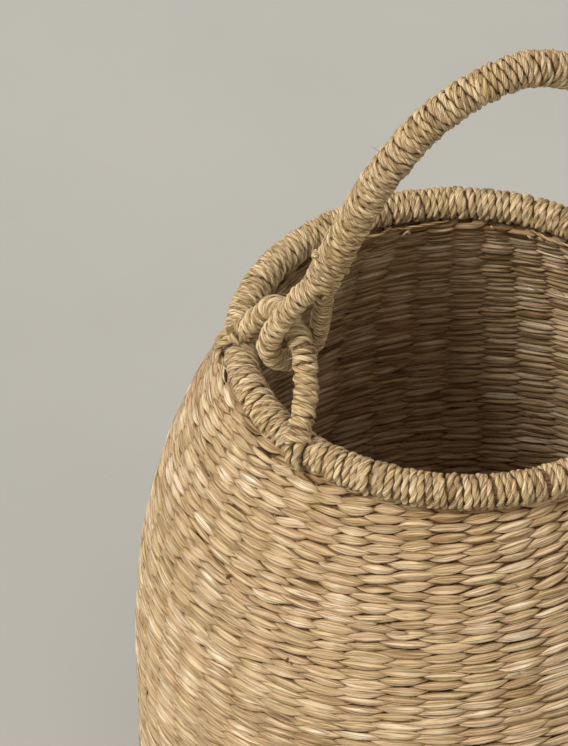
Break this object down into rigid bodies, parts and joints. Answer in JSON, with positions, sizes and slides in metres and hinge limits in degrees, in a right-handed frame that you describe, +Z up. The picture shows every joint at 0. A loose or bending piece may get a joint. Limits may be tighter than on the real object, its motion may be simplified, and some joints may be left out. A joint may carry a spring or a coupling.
{
  "type": "handled seagrass basket",
  "caption": "Round-shouldered woven seagrass basket with a wrapped rim, two wrapped ears and a swinging wrapped handle.",
  "frame": {"origin": "middle of the flat base, on the surface that the basket stands on", "axes": "+Z up through the mouth; X through the two ears and along the handle's swing axis; the handle leans towards -Y at rest"},
  "size_m": [0.323, 0.323, 0.5768],
  "materials": {
    "weave_outside": "dry natural fibre, slight sheen",
    "weave_inside": "dry natural fibre, darker in shade",
    "wrapping_cord": "two-ply twisted cord",
    "lashing_cord": "fine twisted cord",
    "cane": "split cane"
  },
  "bodies": {
    "basket": {"base_outer_weave": "weave_outside", "base_inner_weave": "weave_inside", "wall_outer_weave": "weave_outside", "wall_inner_weave": "weave_inside", "stake_01": "cane", "stake_02": "cane", "stake_03": "cane", "stake_04": "cane", "stake_05": "cane", "stake_06": "cane", "stake_07": "cane", "stake_08": "cane", "stake_09": "cane", "stake_10": "cane", "stake_11": "cane", "stake_12": "cane", "stake_13": "cane", "stake_14": "cane", "stake_15": "cane", "stake_16": "cane", "stake_17": "cane", "stake_18": "cane", "stake_19": "cane", "stake_20": "cane", "stake_21": "cane", "stake_22": "cane", "stake_23": "cane", "stake_24": "cane", "rim_inner_hoop": "cane", "rim_outer_hoop": "cane", "rim_wrap_right": "wrapping_cord", "rim_wrap_left": "wrapping_cord", "rim_wrap_back": "wrapping_cord", "rim_wrap_front": "wrapping_cord", "right_ear_core": "cane", "right_ear_wrap": "wrapping_cord", "right_back_foot_binding": "wrapping_cord", "right_front_foot_binding": "wrapping_cord", "left_ear_core": "cane", "left_ear_wrap": "wrapping_cord", "left_front_foot_binding": "wrapping_cord", "left_back_foot_binding": "wrapping_cord"},
    "handle": {"handle_core": "cane", "handle_wrap": "wrapping_cord", "right_eye_wrap": "wrapping_cord", "right_neck_wrap": "wrapping_cord", "right_lashing": "lashing_cord", "left_eye_wrap": "wrapping_cord", "left_neck_wrap": "wrapping_cord", "left_lashing": "lashing_cord"}
  },
  "joints": [
    {"name": "handle_swing", "type": "hinge", "parent": "basket", "child": "handle", "pos_m": [0, 0, 0.3825], "axis": [1, 0, 0], "range_deg": [-90, 60]}
  ]
}
